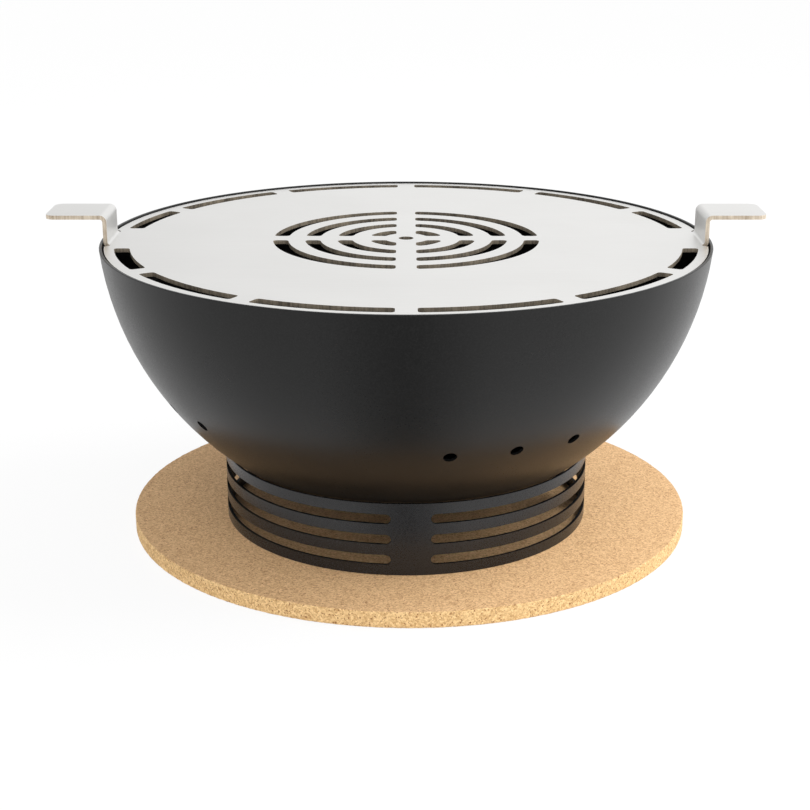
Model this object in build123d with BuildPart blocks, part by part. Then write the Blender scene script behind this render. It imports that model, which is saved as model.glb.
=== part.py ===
from build123d import *
from math import cos, degrees, radians, sin, sqrt
import os

os.makedirs("parts", exist_ok=True)

# Round tabletop charcoal grill, in millimetres.
# The origin is on the table, under the axis of the bowl. +Z is up, the handles point along +X and -X,
# and the side that faces the reader in use is -Y.

# Cork mat, loose on the table and a little behind the axis
mat_d = 429.0
mat_h = 12.0
mat_round = 1.0
mat_shift_x = 2.5
mat_shift_y = 16.0

# Base ring, rolled from slotted strip
ring_d = 277.0
ring_wall = 2.0
ring_round = 0.4
ring_rows = 3
ring_slot_h = 7.2
ring_lands = 4
ring_land_w = 28.0
ring_turn = 1.4

# Outer bowl, spun from sheet as part of a sphere
bowl_d = 450.0
bowl_depth = 204.3
bowl_wall = 2.0
bowl_round = 0.5
bowl_clearance = 8.4
seat_gap = 0.3
air_hole_d = 9.4
air_hole_tilt = 54.9
air_groups = 4
air_per_group = 3
air_pitch = 14.5
air_group_step = 88.0
air_turn = 23.5

# Griddle plate with its two handles, one bent sheet
plate_t = 3.0
plate_recess = 1.1
plate_gap = 1.0
rim_slots = 12
rim_slot_w = 11.2
rim_band = 7.3
rim_land_w = 14.3
handle_land_w = 69.0
rim_slot_round = 2.5
grille_rings = 4
grille_first_r = 22.2
grille_pitch = 23.6
grille_slot_w = 11.2
grille_land_w = 14.5
grille_slot_round = 3.0
centre_hole_d = 11.0
handle_w = 45.0
handle_rise = 21.5
handle_reach = 42.0
handle_inset = 0.5
handle_corner = 7.0
bend_r = 2.0
notch_root = 2.5
notch_mouth = 9.5

# Lugs welded inside the bowl, under the plate
lug_reach = 16.0
lug_h = 18.0
lug_w = 16.0
lug_t = 2.5
lug_angles = (60.0, 120.0, 240.0, 300.0)

# Charcoal bowl, a spun liner that keeps an air gap to the outer bowl
liner_gap = 16.0
liner_wall = 1.5
liner_drop = 38.0
liner_lip = 5.0
vent_d = 10.0
vent_count = 12
vent_tilt = 40.0
foot_d = 14.0
foot_tilt = 26.0
foot_count = 3
foot_turn = 90.0
rivet_d = 5.0
rivet_head_d = 10.0
rivet_head_h = 2.0
rivet_play = 0.05
rivet_depth = 8.0

# Charcoal grate, welded from round wire
grate_tilt = 46.0
grate_wire = 6.0
grate_play = 0.4
bar_wire = 5.0
bar_count = 11
bar_end = 2.0
cross_place = 0.41
loop_wire = 5.0
loop_w = 52.0
loop_h = 38.0
loop_bend = 9.0

# Heights and radii that follow from the sizes above
ring_out_r = ring_d / 2
ring_in_r = ring_out_r - ring_wall
ring_mid_r = ring_out_r - ring_wall / 2
bowl_out_r = ((bowl_d / 2) ** 2 + bowl_depth ** 2) / (2 * bowl_depth)
bowl_in_r = bowl_out_r - bowl_wall
bowl_z = mat_h + bowl_clearance + bowl_out_r
ring_top = bowl_z - sqrt(bowl_out_r ** 2 - ring_in_r ** 2) - seat_gap
ring_h = ring_top - mat_h
ring_band = (ring_h - ring_rows * ring_slot_h) / (ring_rows + 1)
rim_z = bowl_z - bowl_out_r + bowl_depth
plate_top = rim_z - plate_recess
plate_bottom = plate_top - plate_t
plate_r = sqrt(bowl_in_r ** 2 - (bowl_z - plate_bottom) ** 2) - plate_gap
liner_out_r = bowl_in_r - liner_gap
liner_in_r = liner_out_r - liner_wall
liner_top = plate_bottom - liner_drop
liner_top_r = sqrt(liner_out_r ** 2 - (bowl_z - liner_top) ** 2)
grate_reach = liner_in_r - grate_wire / 2 - grate_play
grate_r = grate_reach * sin(radians(grate_tilt))
grate_z = bowl_z - grate_reach * cos(radians(grate_tilt))
bowl_centre = (0, 0, bowl_z)


def upright(angle):
    """Plane through the Z axis at an angle from +X: local x is the radius and local y is the height."""
    turn = radians(angle)
    return Plane(origin=(0, 0, 0), x_dir=(cos(turn), sin(turn), 0), z_dir=(sin(turn), -cos(turn), 0))


def outward(angle, tilt, radius):
    """Plane square to the line from the bowl's centre, tilted up from straight down, at a radius."""
    turn = radians(angle)
    lean = radians(tilt)
    aim = Vector(sin(lean) * cos(turn), sin(lean) * sin(turn), -cos(lean))
    return Plane(origin=Vector(*bowl_centre) + aim * radius, z_dir=aim)


def save(piece, label):
    """Label one finished piece and write its file."""
    piece.label = label
    export_step(piece, f"parts/{label}.step")


# Cork mat: a disc with slightly rounded edges
with BuildPart() as cork_mat:
    with BuildSketch(Plane((mat_shift_x, mat_shift_y, 0))):
        Circle(mat_d / 2)
    extrude(amount=mat_h)
    fillet(cork_mat.edges(), mat_round)
save(cork_mat.part, "cork_mat")

# Base ring: a short tube with rows of long round-ended slots between its lands
slot_pitch = 360 / ring_lands
slot_end = degrees((ring_land_w + ring_slot_h) / 2 / ring_mid_r)
slot_arc = slot_pitch - 2 * slot_end
first_row = mat_h + ring_band + ring_slot_h / 2
with BuildPart() as base_ring:
    with BuildSketch(Plane.XY.offset(mat_h)):
        Circle(ring_out_r)
        Circle(ring_in_r, mode=Mode.SUBTRACT)
    extrude(amount=ring_h)
    fillet(base_ring.edges().group_by(Axis.Z)[0], ring_round)
    fillet(base_ring.edges().group_by(Axis.Z)[-1], ring_round)
    for row in range(ring_rows):
        row_z = first_row + row * (ring_band + ring_slot_h)
        for land in range(ring_lands):
            start = ring_turn - 90 + land * slot_pitch + slot_end
            with BuildSketch(upright(start)):
                with Locations((ring_mid_r, row_z)):
                    Rectangle(2 * ring_wall, ring_slot_h)
            revolve(axis=Axis.Z, revolution_arc=slot_arc, mode=Mode.SUBTRACT)
            for angle in (start, start + slot_arc):
                radial = upright(angle).x_dir
                with BuildSketch(Plane(origin=(0, 0, row_z), x_dir=(0, 0, 1), z_dir=radial)):
                    Circle(ring_slot_h / 2)
                extrude(amount=ring_out_r + ring_wall, mode=Mode.SUBTRACT)
save(base_ring.part, "base_ring")

# Outer bowl: a spun shell with groups of air holes round its lower part
with BuildPart() as outer_bowl:
    with BuildSketch(Plane.XZ):
        with Locations((0, bowl_z)):
            Circle(bowl_out_r)
            Circle(bowl_in_r, mode=Mode.SUBTRACT)
        with Locations((0, rim_z)):
            Rectangle(bowl_d, bowl_out_r, align=(Align.MIN, Align.MAX), mode=Mode.INTERSECT)
    revolve(axis=Axis.Z)
    fillet(outer_bowl.edges().group_by(Axis.Z)[-1], bowl_round)
    for group in range(air_groups):
        for hole in range(air_per_group):
            angle = air_turn - 90 - group * air_group_step + (hole - (air_per_group - 1) / 2) * air_pitch
            with Locations(outward(angle, air_hole_tilt, bowl_out_r)):
                Cylinder(air_hole_d / 2, 3 * bowl_wall, mode=Mode.SUBTRACT)
save(outer_bowl.part, "outer_bowl")

# Plate lugs: small angles whose upright legs follow the wall of the bowl
for number, angle in enumerate(lug_angles, start=1):
    with BuildPart() as plate_lug:
        with BuildSketch(upright(angle)):
            with Locations((0, bowl_z)):
                Circle(bowl_in_r)
                Circle(bowl_in_r - lug_t, mode=Mode.SUBTRACT)
            with Locations((0, plate_bottom)):
                Rectangle(bowl_d, lug_h, align=(Align.MIN, Align.MAX), mode=Mode.INTERSECT)
            with Locations((plate_r - lug_reach, plate_bottom)):
                Rectangle(lug_reach, lug_t, align=(Align.MIN, Align.MAX))
        extrude(amount=lug_w / 2, both=True)
        with Locations(bowl_centre):
            Sphere(bowl_in_r, mode=Mode.INTERSECT)
    save(plate_lug.part, f"plate_lug_{number}")

# Griddle plate: a slotted disc, notched beside each handle strip
bend_x = plate_r - handle_inset - plate_t - bend_r
rim_slot_r = plate_r - rim_band - rim_slot_w / 2
with BuildPart() as griddle_plate:
    with BuildSketch(Plane.XY.offset(plate_bottom)):
        Circle(plate_r)
        with PolarLocations(0, 2):
            Polygon(
                (bend_x, -handle_w / 2 - notch_root),
                (plate_r + handle_inset, -handle_w / 2 - notch_mouth),
                (plate_r + handle_inset, handle_w / 2 + notch_mouth),
                (bend_x, handle_w / 2 + notch_root),
                align=None,
                mode=Mode.SUBTRACT,
            )
        Circle(centre_hole_d / 2, mode=Mode.SUBTRACT)
    extrude(amount=plate_t)
    # Rim slots: one ring of slots with a land between each pair, and a wide one at each handle
    with BuildSketch(Plane.XY.offset(plate_bottom)) as rim_openings:
        Circle(rim_slot_r + rim_slot_w / 2)
        Circle(rim_slot_r - rim_slot_w / 2, mode=Mode.SUBTRACT)
        with PolarLocations(rim_slot_r, rim_slots):
            Rectangle(2 * rim_slot_w, rim_land_w, mode=Mode.SUBTRACT)
        with PolarLocations(rim_slot_r, 2):
            Rectangle(2 * rim_slot_w, handle_land_w, mode=Mode.SUBTRACT)
        fillet(rim_openings.vertices(), rim_slot_round)
    extrude(amount=plate_t, mode=Mode.SUBTRACT)
    # Grille slots: rings of slots cut through by a cross of lands
    for ring in range(grille_rings):
        slot_r = grille_first_r + ring * grille_pitch
        with BuildSketch(Plane.XY.offset(plate_bottom)) as grille_openings:
            Circle(slot_r + grille_slot_w / 2)
            Circle(slot_r - grille_slot_w / 2, mode=Mode.SUBTRACT)
            Rectangle(3 * slot_r, grille_land_w, mode=Mode.SUBTRACT)
            Rectangle(grille_land_w, 3 * slot_r, mode=Mode.SUBTRACT)
            fillet(grille_openings.vertices(), grille_slot_round)
        extrude(amount=plate_t, mode=Mode.SUBTRACT)
    # Handles: the strip turns up at the bend line, then out to a level tab
    face_x = plate_r - handle_inset
    tip_x = face_x + handle_reach
    tab_top = plate_top + handle_rise
    with BuildSketch(Plane.XZ):
        with BuildLine():
            under = FilletPolyline(
                (bend_x - plate_t, plate_bottom),
                (face_x, plate_bottom),
                (face_x, tab_top - plate_t),
                (tip_x, tab_top - plate_t),
                radius=[bend_r + plate_t, bend_r],
            )
            over = FilletPolyline(
                (bend_x - plate_t, plate_top),
                (face_x - plate_t, plate_top),
                (face_x - plate_t, tab_top),
                (tip_x, tab_top),
                radius=[bend_r, bend_r + plate_t],
            )
            Line(under @ 0, over @ 0)
            Line(under @ 1, over @ 1)
        make_face()
        mirror(about=Plane.YZ)
    extrude(amount=handle_w / 2, both=True)
    corners = griddle_plate.edges().filter_by(Axis.Z).filter_by_position(Axis.Z, plate_top, tab_top)
    fillet(corners.group_by(Axis.X)[0] + corners.group_by(Axis.X)[-1], handle_corner)
save(griddle_plate.part, "griddle_plate")

# Charcoal bowl: a spun dish with a flat lip and a row of vents
with BuildPart() as charcoal_bowl:
    with BuildSketch(Plane.XZ):
        with Locations((0, bowl_z)):
            Circle(liner_out_r)
            Circle(liner_in_r, mode=Mode.SUBTRACT)
        with Locations((0, liner_top)):
            Rectangle(bowl_d, bowl_out_r, align=(Align.MIN, Align.MAX), mode=Mode.INTERSECT)
        with Locations((liner_top_r - liner_wall, liner_top)):
            Rectangle(liner_lip + liner_wall, liner_wall, align=(Align.MIN, Align.MAX))
    revolve(axis=Axis.Z)
    for vent in range(vent_count):
        with Locations(outward(vent * 360 / vent_count, vent_tilt, liner_out_r)):
            Cylinder(vent_d / 2, 3 * liner_wall, mode=Mode.SUBTRACT)
    for foot in range(foot_count):
        with Locations(outward(foot_turn + foot * 360 / foot_count, foot_tilt, liner_out_r)):
            Cylinder(rivet_d / 2 + rivet_play, 3 * liner_wall, mode=Mode.SUBTRACT)
save(charcoal_bowl.part, "charcoal_bowl")

# Feet of the charcoal bowl: round studs that end on the wall of the outer bowl
for foot in range(foot_count):
    with BuildPart() as liner_foot:
        with Locations(outward(foot_turn + foot * 360 / foot_count, foot_tilt, liner_out_r)):
            Cylinder(foot_d / 2, 3 * liner_gap)
        with Locations(bowl_centre):
            Sphere(bowl_in_r - seat_gap, mode=Mode.INTERSECT)
            Sphere(liner_out_r, mode=Mode.SUBTRACT)
        with Locations(outward(foot_turn + foot * 360 / foot_count, foot_tilt, liner_out_r)):
            Cylinder(rivet_d / 2 + rivet_play, 2 * rivet_depth, mode=Mode.SUBTRACT)
    save(liner_foot.part, f"liner_foot_{foot + 1}")

# Foot rivets: a head inside the charcoal bowl and a shank down into each foot
with BuildPart() as foot_rivets:
    for foot in range(foot_count):
        with Locations(outward(foot_turn + foot * 360 / foot_count, foot_tilt, liner_in_r)):
            Cylinder(rivet_head_d / 2, 2 * rivet_head_h)
    with Locations(bowl_centre):
        Sphere(liner_in_r, mode=Mode.INTERSECT)
    for foot in range(foot_count):
        with Locations(outward(foot_turn + foot * 360 / foot_count, foot_tilt, liner_in_r)):
            Cylinder(rivet_d / 2, 2 * rivet_depth)
save(foot_rivets.part, "foot_rivets")

# Grate ring: a hoop of wire that drops on to the wall of the charcoal bowl
with BuildPart() as grate_ring:
    with BuildSketch(Plane.XZ):
        with Locations((grate_r, grate_z)):
            Circle(grate_wire / 2)
    revolve(axis=Axis.Z)
save(grate_ring.part, "grate_ring")

# Grate bars: straight wires that lie on the cross bars, with the weld sunk into the ring at each end
bar_z = grate_z + bar_wire
bar_pitch = 2 * grate_r / (bar_count + 1)
for number in range(bar_count):
    bar_y = (number - (bar_count - 1) / 2) * bar_pitch
    bar_half = sqrt((grate_r + bar_end) ** 2 - bar_y ** 2)
    with BuildPart() as grate_bar:
        with BuildSketch(Plane(origin=(0, bar_y, bar_z), z_dir=(1, 0, 0))):
            Circle(bar_wire / 2)
        extrude(amount=bar_half, both=True)
        add(grate_ring.part, mode=Mode.SUBTRACT)
    save(grate_bar.part, f"grate_bar_{number + 1}")

# Cross bars: wires under the bars, shaped to meet the ring
cross_offset = cross_place * grate_r
for number, bar_x in enumerate((-cross_offset, cross_offset), start=1):
    cross_half = sqrt(grate_r ** 2 - bar_x ** 2)
    with BuildPart() as cross_bar:
        with BuildSketch(Plane(origin=(bar_x, 0, grate_z), z_dir=(0, 1, 0))):
            Circle(bar_wire / 2)
        extrude(amount=cross_half, both=True)
        add(grate_ring.part, mode=Mode.SUBTRACT)
    save(cross_bar.part, f"cross_bar_{number}")

# Lifting loops: bent wires that stand on the ring
loop_y = sqrt(grate_r ** 2 - (loop_w / 2) ** 2)
for number, side in enumerate((-1, 1), start=1):
    with BuildPart() as lifting_loop:
        with BuildLine():
            route = FilletPolyline(
                (-loop_w / 2, side * loop_y, grate_z),
                (-loop_w / 2, side * loop_y, grate_z + loop_h),
                (loop_w / 2, side * loop_y, grate_z + loop_h),
                (loop_w / 2, side * loop_y, grate_z),
                radius=loop_bend,
            )
        with BuildSketch(Plane(origin=route @ 0, z_dir=route % 0)):
            Circle(loop_wire / 2)
        sweep(path=route)
        add(grate_ring.part, mode=Mode.SUBTRACT)
    save(lifting_loop.part, f"lifting_loop_{number}")
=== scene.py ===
from math import radians, sqrt

import bpy
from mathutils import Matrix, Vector


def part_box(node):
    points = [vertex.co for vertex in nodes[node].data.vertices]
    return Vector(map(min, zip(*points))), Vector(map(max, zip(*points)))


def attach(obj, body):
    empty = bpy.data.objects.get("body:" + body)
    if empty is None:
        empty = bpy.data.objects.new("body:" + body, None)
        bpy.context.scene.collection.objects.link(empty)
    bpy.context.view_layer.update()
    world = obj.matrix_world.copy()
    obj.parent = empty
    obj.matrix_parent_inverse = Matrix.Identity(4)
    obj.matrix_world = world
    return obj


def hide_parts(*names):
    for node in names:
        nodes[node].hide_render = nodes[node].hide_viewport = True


# Round tabletop charcoal grill on a cork mat: how its pieces look.
# Lengths are metres in the frame of the CAD model: +Z is up, and the side towards the reader is -Y.
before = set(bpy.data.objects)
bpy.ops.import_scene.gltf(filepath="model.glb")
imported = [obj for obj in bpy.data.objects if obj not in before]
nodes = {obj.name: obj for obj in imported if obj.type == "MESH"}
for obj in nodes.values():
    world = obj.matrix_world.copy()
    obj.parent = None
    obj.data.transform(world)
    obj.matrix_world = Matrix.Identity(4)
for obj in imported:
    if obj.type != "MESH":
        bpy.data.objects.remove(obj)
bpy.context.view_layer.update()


# Cork mat: a round disc of cork granules pressed into sheet with a binder, then sawn out. It lies loose
# on the table. Both faces are sanded flat, and the sawn edge is rougher and a little chipped. The edge gets
# lighter cork colours than the faces as painted light, for the light that falls on the upright side.
def add_node(tree, kind, inputs, **settings):
    """One shader node: settings are its own fields, and inputs are values or outputs of other nodes."""
    new = tree.nodes.new(kind)
    for label, value in settings.items():
        setattr(new, label, value)
    for label, value in inputs.items():
        socket = new.inputs[label]
        if isinstance(value, bpy.types.NodeSocket):
            tree.links.new(value, socket)
        elif socket.type == "RGBA" and len(value) == 3:
            socket.default_value = (*value, 1)
        else:
            socket.default_value = value
    return new


def noise(tree, place, scale, detail=2.0, roughness=0.5):
    """Soft cloudy values from 0 to 1."""
    values = {"Vector": place, "Scale": scale, "Detail": detail, "Roughness": roughness}
    return add_node(tree, "ShaderNodeTexNoise", values).outputs["Fac"]


def cells(tree, place, scale, feature="F1"):
    """A field of random cells."""
    return add_node(tree, "ShaderNodeTexVoronoi", {"Vector": place, "Scale": scale}, feature=feature)


def spread(tree, value, low, high, to_low=0.0, to_high=1.0):
    """A value stretched from one range to another, and held inside it."""
    ends = {"Value": value, "From Min": low, "From Max": high, "To Min": to_low, "To Max": to_high}
    return add_node(tree, "ShaderNodeMapRange", ends).outputs["Result"]


def mixed(tree, factor, first, second, blend="MIX"):
    """Two colours mixed by a factor."""
    values = {0: factor, 6: first, 7: second}
    return add_node(tree, "ShaderNodeMix", values, data_type="RGBA", blend_type=blend).outputs[2]


def reckon(tree, operation, first, second):
    """A sum on two numbers."""
    return add_node(tree, "ShaderNodeMath", {0: first, 1: second}, operation=operation).outputs[0]


def effect(label, inputs, outputs):
    """An empty shader group, with its input sockets to read from and its output sockets to fill."""
    tree = bpy.data.node_groups.new(label, "ShaderNodeTree")
    for name, kind in inputs.items():
        tree.interface.new_socket(name, in_out="INPUT", socket_type=kind)
    for name, kind in outputs.items():
        tree.interface.new_socket(name, in_out="OUTPUT", socket_type=kind)
    return tree, tree.nodes.new("NodeGroupInput").outputs, tree.nodes.new("NodeGroupOutput").inputs


def start_material(label, **constants):
    """A new material, with the values that are the same all over set on its shader."""
    surface = bpy.data.materials.new(label)
    surface.use_nodes = True
    tree = surface.node_tree
    shader = tree.nodes["Principled BSDF"]
    for name, value in constants.items():
        shader.inputs[name.replace("_", " ")].default_value = value
    place = tree.nodes.new("ShaderNodeTexCoord").outputs["Object"]
    return surface, tree, shader, place


def relief(tree, shader, height, depth, strength=1.0):
    """Fine relief on the surface, from a height pattern."""
    values = {"Height": height, "Distance": depth, "Strength": strength}
    tree.links.new(add_node(tree, "ShaderNodeBump", values).outputs["Normal"], shader.inputs["Normal"])


def select_only(piece):
    """Make one piece the only selected and active object."""
    bpy.ops.object.select_all(action="DESELECT")
    piece.select_set(True)
    bpy.context.view_layer.objects.active = piece


def edit(piece, kind="EDGE"):
    """Go into edit mode on one piece, with nothing selected."""
    select_only(piece)
    bpy.ops.object.mode_set(mode="EDIT")
    bpy.ops.mesh.select_mode(type=kind)
    bpy.ops.mesh.select_all(action="DESELECT")
    bpy.ops.object.mode_set(mode="OBJECT")


cork, cork_in, cork_out = effect(
    "cork granules",
    {
        "Vector": "NodeSocketVector",
        "Dark": "NodeSocketColor",
        "Light": "NodeSocketColor",
        "Speck": "NodeSocketColor",
        "Specks": "NodeSocketFloat",
    },
    {"Color": "NodeSocketColor", "Height": "NodeSocketFloat"},
)
granule_scale = 900
speck_scale = 1150
drift_scale = 520
drift_reach = 0.0015
cloud_scale = 1600
granule_share = 0.55
cloud_share = 0.6
drift = add_node(cork, "ShaderNodeTexNoise", {"Vector": cork_in["Vector"], "Scale": drift_scale, "Detail": 3})
drift_values = {0: drift.outputs["Color"], "Scale": drift_reach}
drift_step = add_node(cork, "ShaderNodeVectorMath", drift_values, operation="SCALE").outputs[0]
drifted_values = {0: cork_in["Vector"], 1: drift_step}
drifted = add_node(cork, "ShaderNodeVectorMath", drifted_values, operation="ADD").outputs[0]
granules = cells(cork, drifted, granule_scale)
granule_parts = add_node(cork, "ShaderNodeSeparateColor", {"Color": granules.outputs["Color"]})
granule_tone = granule_parts.outputs[0]
grain_cloud = noise(cork, cork_in["Vector"], cloud_scale, 4, 0.6)
granule_part = reckon(cork, "MULTIPLY", granule_tone, granule_share)
cloud_part = reckon(cork, "MULTIPLY", grain_cloud, cloud_share)
tone = reckon(cork, "ADD", granule_part, cloud_part)
granule_colour = mixed(cork, spread(cork, tone, 0.25, 0.85), cork_in["Dark"], cork_in["Light"])
joint_line = cells(cork, drifted, granule_scale, "DISTANCE_TO_EDGE").outputs["Distance"]
joint_shade = spread(cork, joint_line, 0.0, 0.09, 0.35, 0.0)
jointed = mixed(cork, joint_shade, granule_colour, cork_in["Dark"])
speck_cells = cells(cork, drifted, speck_scale)
speck_parts = add_node(cork, "ShaderNodeSeparateColor", {"Color": speck_cells.outputs["Color"]})
speck_mask = reckon(cork, "MULTIPLY", spread(cork, speck_parts.outputs[1], 0.9, 0.97), cork_in["Specks"])
cork.links.new(mixed(cork, speck_mask, jointed, cork_in["Speck"]), cork_out["Color"])
granule_height = reckon(cork, "ADD", granule_tone, spread(cork, joint_line, 0.0, 0.12, 0.0, 0.8))
cork_height = reckon(cork, "SUBTRACT", reckon(cork, "ADD", granule_height, grain_cloud), speck_mask)
cork.links.new(cork_height, cork_out["Height"])


def cork_material(label, dark, light, speck, specks, depth):
    """Cork in one set of colours, with its granules standing out by a depth."""
    surface, tree, shader, place = start_material(label, Roughness=0.82, Specular_IOR_Level=0.25)
    pattern = tree.nodes.new("ShaderNodeGroup")
    pattern.node_tree = cork
    tree.links.new(place, pattern.inputs["Vector"])
    pattern.inputs["Dark"].default_value = (*dark, 1)
    pattern.inputs["Light"].default_value = (*light, 1)
    pattern.inputs["Speck"].default_value = (*speck, 1)
    pattern.inputs["Specks"].default_value = specks
    tree.links.new(pattern.outputs["Color"], shader.inputs["Base Color"])
    relief(tree, shader, pattern.outputs["Height"], depth)
    return surface


cork_face = cork_material(
    "sanded cork",
    dark=(0.46, 0.272, 0.128),
    light=(0.76, 0.502, 0.272),
    speck=(0.2, 0.085, 0.03),
    specks=0.65,
    depth=0.00006,
)
# The sawn edge uses lighter cork colours than the sanded faces: painted light on the upright side.
sawn_cork_painted_light = cork_material(
    "sawn cork with painted light",
    dark=(0.47, 0.272, 0.108),
    light=(0.82, 0.58, 0.295),
    speck=(0.22, 0.09, 0.03),
    specks=0.85,
    depth=0.0001,
)
mat_low, mat_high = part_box("cork_mat")
mat_height = mat_high[2] - mat_low[2]
mat_radius = (mat_high[0] - mat_low[0]) / 2
mat_middle = ((mat_low[0] + mat_high[0]) / 2, (mat_low[1] + mat_high[1]) / 2, mat_height / 2)
mat_facets = 640
mat_round = 0.001
side_cuts = 6
chip_size = 0.0025
chip_depth = 0.0003
nearly_level = 0.8
bpy.ops.object.select_all(action="DESELECT")
bpy.ops.mesh.primitive_cylinder_add(
    vertices=mat_facets, radius=mat_radius, depth=mat_height, location=mat_middle
)
mat = bpy.context.object
mat.name = "cork_disc"
bpy.ops.object.transform_apply(location=True, rotation=True, scale=True)
edit(mat)
for side in mat.data.edges:
    ends = [mat.data.vertices[corner].co.z for corner in side.vertices]
    side.select = abs(ends[0] - ends[1]) > mat_height / 2
bpy.ops.object.mode_set(mode="EDIT")
bpy.ops.mesh.subdivide(number_cuts=side_cuts)
bpy.ops.object.mode_set(mode="OBJECT")
edit(mat)
for rim in mat.data.edges:
    ends = [mat.data.vertices[corner].co.z for corner in rim.vertices]
    rim.select = min(ends) > mat_high[2] - 1e-6 or max(ends) < mat_low[2] + 1e-6
bpy.ops.object.mode_set(mode="EDIT")
bpy.ops.mesh.bevel(offset=mat_round, segments=3, affect="EDGES")
bpy.ops.object.mode_set(mode="OBJECT")
sawn = mat.vertex_groups.new(name="sawn edge")
for point in mat.data.vertices:
    reach = sqrt((point.co.x - mat_middle[0]) ** 2 + (point.co.y - mat_middle[1]) ** 2)
    sawn.add([point.index], 1.0 if reach > mat_radius - mat_round / 2 else 0.0, "REPLACE")
chips = bpy.data.textures.new("chips", "CLOUDS")
chips.noise_scale = chip_size
chips.noise_depth = 2
chipped = mat.modifiers.new("chipped edge", "DISPLACE")
chipped.texture = chips
chipped.texture_coords = "LOCAL"
chipped.vertex_group = "sawn edge"
chipped.mid_level = 1.0
chipped.strength = chip_depth
bpy.ops.object.modifier_apply(modifier="chipped edge")
mat.data.materials.append(cork_face)
mat.data.materials.append(sawn_cork_painted_light)
# Upright faces take the lighter edge cork, which is painted light.
for face in mat.data.polygons:
    face.material_index = 1 if abs(face.normal.z) < nearly_level else 0
bpy.ops.object.shade_smooth_by_angle(angle=radians(35))
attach(mat, "mat")
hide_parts("cork_mat")


# Base ring: steel strip with three rows of long slots, rolled into a short tube and welded. It is powder
# coated in fine-grained black, and stands loose on the mat to carry the bowl.
coat, coat_in, coat_out = effect(
    "powder coat",
    {
        "Vector": "NodeSocketVector",
        "Grain": "NodeSocketFloat",
        "Base": "NodeSocketColor",
        "Worn": "NodeSocketColor",
    },
    {"Color": "NodeSocketColor", "Roughness": "NodeSocketFloat", "Height": "NodeSocketFloat"},
)
orange_peel = noise(coat, coat_in["Vector"], coat_in["Grain"], 3, 0.55)
flow_scale = 14
flow = noise(coat, coat_in["Vector"], flow_scale, 2, 0.5)
coat_tone = spread(coat, orange_peel, 0.42, 0.75)
coat.links.new(mixed(coat, coat_tone, coat_in["Base"], coat_in["Worn"]), coat_out["Color"])
peel_rough = spread(coat, orange_peel, 0.3, 0.7, 0.0, 0.1)
flow_rough = spread(coat, flow, 0.3, 0.7, 0.0, 0.06)
coat.links.new(reckon(coat, "ADD", peel_rough, flow_rough), coat_out["Roughness"])
coat.links.new(orange_peel, coat_out["Height"])


def coat_material(label, base, worn, grain, rough, depth, gloss):
    """Black coating with its own grain, roughness, depth of texture and gloss."""
    surface, tree, shader, place = start_material(label, Specular_IOR_Level=gloss)
    pattern = tree.nodes.new("ShaderNodeGroup")
    pattern.node_tree = coat
    tree.links.new(place, pattern.inputs["Vector"])
    pattern.inputs["Grain"].default_value = grain
    pattern.inputs["Base"].default_value = (*base, 1)
    pattern.inputs["Worn"].default_value = (*worn, 1)
    tree.links.new(pattern.outputs["Color"], shader.inputs["Base Color"])
    tree.links.new(reckon(tree, "ADD", pattern.outputs["Roughness"], rough), shader.inputs["Roughness"])
    relief(tree, shader, pattern.outputs["Height"], depth)
    return surface


def eased_copy(label, source, ease):
    """A merged copy of a CAD node's mesh, with its sharp edges eased by a small bevel."""
    piece = bpy.data.objects.new(label, nodes[source].data.copy())
    bpy.context.collection.objects.link(piece)
    piece.data.materials.clear()
    select_only(piece)
    bpy.ops.object.mode_set(mode="EDIT")
    bpy.ops.mesh.select_all(action="SELECT")
    bpy.ops.mesh.remove_doubles(threshold=1e-6)
    bpy.ops.mesh.dissolve_limited(angle_limit=radians(0.2))
    bpy.ops.object.mode_set(mode="OBJECT")
    bevel = piece.modifiers.new("eased edges", "BEVEL")
    bevel.width = ease
    bevel.segments = 2
    bevel.limit_method = "ANGLE"
    bevel.angle_limit = radians(40)
    bpy.ops.object.modifier_apply(modifier="eased edges")
    bpy.ops.object.shade_smooth_by_angle(angle=radians(50))
    even = piece.modifiers.new("even shading", "WEIGHTED_NORMAL")
    even.keep_sharp = True
    even.weight = 100
    bpy.ops.object.modifier_apply(modifier="even shading")
    return piece


ring_coat = coat_material(
    "ring powder coat",
    base=(0.006, 0.006, 0.007),
    worn=(0.018, 0.019, 0.021),
    grain=1500,
    rough=0.2,
    depth=0.00002,
    gloss=0.5,
)
# The cut walls of the slots get a darker, duller coat than the ring: painted shade, where the walls lie in
# shadow inside the slots.
ring_slot_painted_shade = coat_material(
    "slot walls in painted shade",
    base=(0.003, 0.003, 0.003),
    worn=(0.006, 0.006, 0.006),
    grain=1500,
    rough=0.55,
    depth=0.00002,
    gloss=0.1,
)
ring_ease = 0.0002
band_edge = 0.001
faces_out = 0.85
ring = eased_copy("slotted_ring", "base_ring", ring_ease)
ring.data.materials.append(ring_coat)
ring.data.materials.append(ring_slot_painted_shade)
ring_low, ring_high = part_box("base_ring")
# Faces inside the slotted band that do not face outwards are the slot walls, and they take the painted shade.
for face in ring.data.polygons:
    reach = sqrt(face.center.x ** 2 + face.center.y ** 2)
    facing_out = abs(face.center.x * face.normal.x + face.center.y * face.normal.y) / reach
    in_band = ring_low[2] + band_edge < face.center.z < ring_high[2] - band_edge
    face.material_index = 1 if in_band and facing_out < faces_out else 0
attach(ring, "ring")
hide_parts("base_ring")


# Outer bowl: sheet steel spun over a former into part of a sphere and trimmed at the rim, with small air
# holes punched low in the wall. It is coated in smooth satin black, and sits in the ring by its weight.
def dress(surface, *labels):
    """Give CAD nodes a material in each of their slots."""
    for label in labels:
        mesh = nodes[label].data
        if not mesh.materials:
            mesh.materials.append(surface)
        for index in range(len(mesh.materials)):
            mesh.materials[index] = surface


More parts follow.
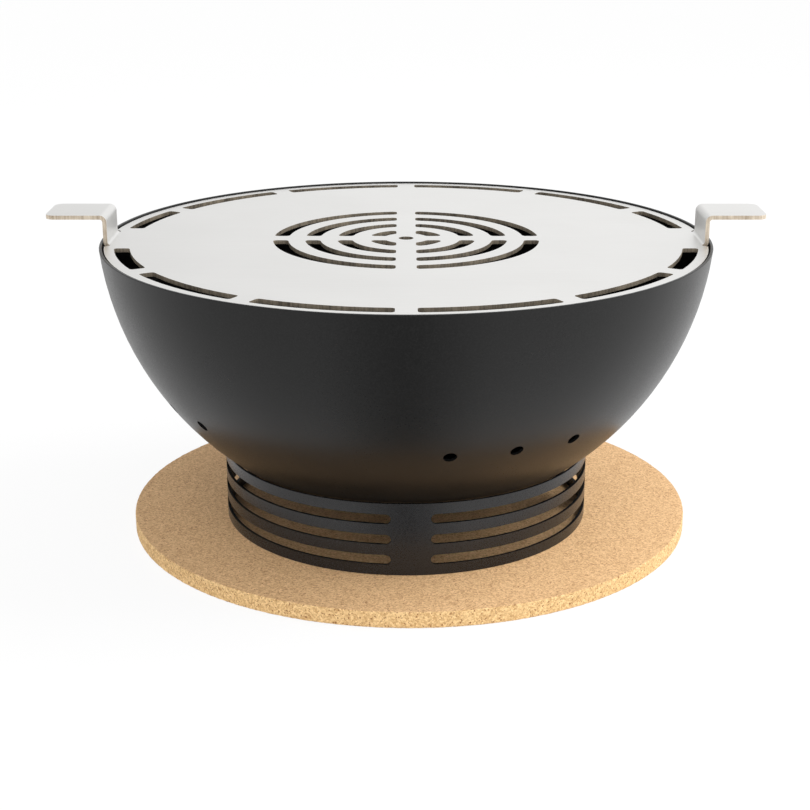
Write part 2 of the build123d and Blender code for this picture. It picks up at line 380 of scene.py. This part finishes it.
bowl_coat = coat_material(
    "satin bowl coat",
    base=(0.004, 0.004, 0.004),
    worn=(0.009, 0.009, 0.009),
    grain=900,
    rough=0.25,
    depth=0.000003,
    gloss=0.32,
)
dress(bowl_coat, "outer_bowl")


# Plate lugs: short angles pressed from strip and welded inside the bowl before it is coated. The griddle
# plate rests on them.
dress(bowl_coat, *[label for label in nodes if label.startswith("plate_lug")])


# Griddle plate: one sheet of bare steel, laser cut with its slots and centre hole. The strips at its sides
# are bent up and out into handles. Its faces are bright, and its cut edges are left tan by the laser. The cut
# walls in its slots, notches and rim get a much darker copy of the edge colours as painted shade.
steel, steel_in, steel_out = effect(
    "bare steel",
    {
        "Vector": "NodeSocketVector",
        "Light": "NodeSocketColor",
        "Dull": "NodeSocketColor",
        "Grain": "NodeSocketFloat",
    },
    {"Color": "NodeSocketColor", "Roughness": "NodeSocketFloat", "Height": "NodeSocketFloat"},
)
rolling_stretch = (0.04, 1.0, 1.0)
dull_cloud_scale = 9
rolled_values = {"Vector": steel_in["Vector"], "Scale": rolling_stretch}
rolled_way = add_node(steel, "ShaderNodeMapping", rolled_values).outputs[0]
rolled = noise(steel, rolled_way, steel_in["Grain"], 3, 0.6)
clouds = noise(steel, steel_in["Vector"], dull_cloud_scale, 3, 0.5)
rolled_part = spread(steel, rolled, 0.35, 0.7, 0.0, 0.25)
cloud_dulling = spread(steel, clouds, 0.3, 0.75, 0.0, 0.75)
dulled = reckon(steel, "ADD", rolled_part, cloud_dulling)
steel.links.new(mixed(steel, dulled, steel_in["Light"], steel_in["Dull"]), steel_out["Color"])
steel.links.new(spread(steel, dulled, 0.0, 1.0, 0.0, 0.06), steel_out["Roughness"])
steel.links.new(rolled, steel_out["Height"])


def steel_material(label, light, dull, grain, rough, depth):
    """Bare steel with faint marks along the way that it was rolled or drawn."""
    surface, tree, shader, place = start_material(label, Metallic=1.0)
    pattern = tree.nodes.new("ShaderNodeGroup")
    pattern.node_tree = steel
    tree.links.new(place, pattern.inputs["Vector"])
    pattern.inputs["Light"].default_value = (*light, 1)
    pattern.inputs["Dull"].default_value = (*dull, 1)
    pattern.inputs["Grain"].default_value = grain
    tree.links.new(pattern.outputs["Color"], shader.inputs["Base Color"])
    tree.links.new(reckon(tree, "ADD", pattern.outputs["Roughness"], rough), shader.inputs["Roughness"])
    relief(tree, shader, pattern.outputs["Height"], depth)
    return surface


plate_face = steel_material(
    "bright steel sheet",
    light=(0.84, 0.835, 0.82),
    dull=(0.80, 0.795, 0.78),
    grain=500,
    rough=0.36,
    depth=0.0000005,
)
stripe_stretch = (1.0, 1.0, 0.06)
stripe_scale = 700
patch_scale = 60
stripe_depth = 0.00005


def cut_edge_material(label, clean, burnt):
    """A laser-cut edge, with fine upright stripes and burnt patches."""
    surface, tree, shader, place = start_material(label, Metallic=0.5)
    upright_values = {"Vector": place, "Scale": stripe_stretch}
    upright_way = add_node(tree, "ShaderNodeMapping", upright_values).outputs[0]
    stripes = noise(tree, upright_way, stripe_scale, 2, 0.6)
    patches = noise(tree, place, patch_scale, 4, 0.55)
    stripe_part = spread(tree, stripes, 0.35, 0.7, 0.0, 0.45)
    patch_part = spread(tree, patches, 0.35, 0.65, 0.0, 0.55)
    burn = reckon(tree, "ADD", stripe_part, patch_part)
    tree.links.new(mixed(tree, burn, clean, burnt), shader.inputs["Base Color"])
    tree.links.new(spread(tree, burn, 0.0, 1.0, 0.38, 0.6), shader.inputs["Roughness"])
    relief(tree, shader, stripes, stripe_depth)
    return surface


# The slot walls use the same laser-cut edge in much darker colours: painted shade, where the walls sit in the
# shadow of the slots.
cut_edge_painted_shade = cut_edge_material("laser cut edge in painted shade", clean=(0.40, 0.34, 0.26), burnt=(0.06, 0.05, 0.04))
strip_edge = cut_edge_material("laser cut strip edge", clean=(0.78, 0.69, 0.56), burnt=(0.30, 0.22, 0.15))
plate_ease = 0.00025
plate = eased_copy("slotted_plate", "griddle_plate", plate_ease)
plate.data.materials.append(plate_face)
plate.data.materials.append(cut_edge_painted_shade)
plate.data.materials.append(strip_edge)
plate_low, plate_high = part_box("griddle_plate")
strip_start = plate_high[0] - 0.048
strip_half_width = 0.024
tip_start = plate_high[0] - 0.008
notch_top = plate_low[2] + 0.0029
for face in plate.data.polygons:
    on_strip = abs(face.center.x) > strip_start and abs(face.center.y) < strip_half_width
    upright = abs(face.normal.z) < (0.5 if on_strip else 0.4)
    at_tip = abs(face.center.x) > tip_start
    strip_cut = on_strip and (abs(face.normal.y) > 0.5 or (at_tip and upright))
    # Cut walls below the notch top, and all upright cut walls away from the strips, take the darker edge as
    # painted shade.
    if strip_cut and face.center.z >= notch_top:
        face.material_index = 2
    elif strip_cut or (upright and not on_strip):
        face.material_index = 1
    else:
        face.material_index = 0
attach(plate, "plate")
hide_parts("griddle_plate")


# Charcoal bowl with its feet and rivets: a thin spun dish, matt black against the heat, that hangs on
# studs clear of the outer bowl.
heat_coat = coat_material(
    "heatproof coat",
    base=(0.010, 0.010, 0.010),
    worn=(0.024, 0.023, 0.022),
    grain=700,
    rough=0.62,
    depth=0.00004,
    gloss=0.3,
)
liner_feet = [label for label in nodes if label.startswith("liner_foot")]
dress(heat_coat, "charcoal_bowl", "foot_rivets", *liner_feet)


# Charcoal grate: drawn steel wire, spot welded into a hoop with bars, cross bars and lifting loops. It
# drops into the charcoal bowl.
drawn_wire = steel_material(
    "drawn wire",
    light=(0.46, 0.45, 0.44),
    dull=(0.30, 0.295, 0.29),
    grain=900,
    rough=0.42,
    depth=0.00002,
)
wire_kinds = ("grate_ring", "grate_bar", "cross_bar", "lifting_loop")
dress(drawn_wire, *[label for label in nodes if label.startswith(wire_kinds)])


# Studio: a wide pale floor that keeps the shadow, a soft lamp from the right, and a white surround that
# lights the grill a little more from the near side.
floor_width = 30
floor_drop = 0.0002
floor_glow_share = 0.88
least_mirrored = 0.2
floor_surface, floor_tree, floor_shader, floor_place = start_material(
    "pale floor", Roughness=0.9, Specular_IOR_Level=0.0
)
floor_tint = mixed(floor_tree, noise(floor_tree, floor_place, 3, 2), (0.90, 0.90, 0.90), (0.92, 0.92, 0.92))
floor_tree.links.new(floor_tint, floor_shader.inputs["Base Color"])
floor_paths = floor_tree.nodes.new("ShaderNodeLightPath").outputs
floor_shown = reckon(floor_tree, "MAXIMUM", floor_paths["Is Camera Ray"], floor_paths["Is Transmission Ray"])
floor_seen = reckon(floor_tree, "MAXIMUM", floor_shown, floor_paths["Is Glossy Ray"])
glow_share = reckon(floor_tree, "MULTIPLY", floor_seen, floor_glow_share)
# Seen only in reflections, the floor glows brighter towards the left and right and dimmer in front and
# behind. This is a painted reflection that puts soft highlights on the sides of the bowl.
floor_way = add_node(floor_tree, "ShaderNodeVectorMath", {0: floor_place}, operation="NORMALIZE").outputs[0]
across = add_node(floor_tree, "ShaderNodeSeparateXYZ", {"Vector": floor_way}).outputs["X"]
right_part = spread(floor_tree, across, 0.05, 0.45, least_mirrored, 1.0)
left_part = spread(floor_tree, across, -0.45, -0.05, 0.86, least_mirrored)
painted_reflection_level = reckon(floor_tree, "MAXIMUM", right_part, left_part)
painted_reflection_glow = reckon(floor_tree, "MULTIPLY", floor_paths["Is Glossy Ray"], painted_reflection_level)
glow_level = reckon(floor_tree, "MAXIMUM", floor_shown, painted_reflection_glow)
glow = add_node(floor_tree, "ShaderNodeEmission", {"Color": (1.0, 1.0, 1.0), "Strength": glow_level})
floor_sides = {0: glow_share, 1: floor_shader.outputs[0], 2: glow.outputs[0]}
floor_mix = add_node(floor_tree, "ShaderNodeMixShader", floor_sides)
floor_tree.links.new(floor_mix.outputs[0], floor_tree.nodes["Material Output"].inputs["Surface"])
bpy.ops.object.select_all(action="DESELECT")
bpy.ops.mesh.primitive_plane_add(size=floor_width, location=(0, 0, -floor_drop))
floor = bpy.context.object
floor.name = "floor"
floor.data.materials.append(floor_surface)

surround_level = 0.78
near_side_gain = 1.2
left_mirrored = 0.58
world = bpy.data.worlds.new("white surround")
bpy.context.scene.world = world
world.use_nodes = True
world_tree = world.node_tree
backdrop = world_tree.nodes["Background"]
backdrop.inputs["Color"].default_value = (1, 1, 1, 1)
world_paths = world_tree.nodes.new("ShaderNodeLightPath").outputs
world_shown = reckon(world_tree, "MAXIMUM", world_paths["Is Camera Ray"], world_paths["Is Transmission Ray"])
world_way = world_tree.nodes.new("ShaderNodeTexCoord").outputs["Generated"]
to_the_right = add_node(world_tree, "ShaderNodeSeparateXYZ", {"Vector": world_way}).outputs["X"]
mirrored_level = spread(world_tree, to_the_right, -0.5, 0.0, left_mirrored, 1.0)
away_values = {0: world_way, 1: (0.3, 0.95, 0.0)}
away = add_node(world_tree, "ShaderNodeVectorMath", away_values, operation="DOT_PRODUCT").outputs["Value"]
near_gain = spread(world_tree, away, -0.85, -0.25, near_side_gain, 0.0)
lighting_level = reckon(world_tree, "ADD", near_gain, surround_level)
unmirrored = spread(world_tree, world_paths["Is Glossy Ray"], 0.0, 1.0, lighting_level, mirrored_level)
backdrop_level = spread(world_tree, world_shown, 0.0, 1.0, unmirrored, 1.0)
world_tree.links.new(backdrop_level, backdrop.inputs["Strength"])

lamp_place = Vector((1.8, 0.1, 1.5))
lamp_aim = Vector((0, 0, 0.1))
bpy.ops.object.light_add(type="AREA", location=lamp_place)
right_lamp = bpy.context.object
right_lamp.name = "right lamp"
right_lamp.data.size = 1.6
right_lamp.data.energy = 58
right_lamp.rotation_euler = (lamp_aim - lamp_place).to_track_quat("-Z", "Y").to_euler()
right_lamp.visible_glossy = False

# Camera: fitted to the ellipses of the rim, ring and mat in the photograph. It stands in front of the
# grill and looks down at it.
looking_down = radians(18.147)
bpy.ops.object.camera_add(location=(-0.0008, -1.2022, 0.4870), rotation=(radians(90) - looking_down, 0, 0))
camera = bpy.context.object
camera.data.sensor_width = 36
camera.data.lens = 73.19
bpy.context.scene.camera = camera
bpy.context.scene.view_settings.view_transform = "Standard"
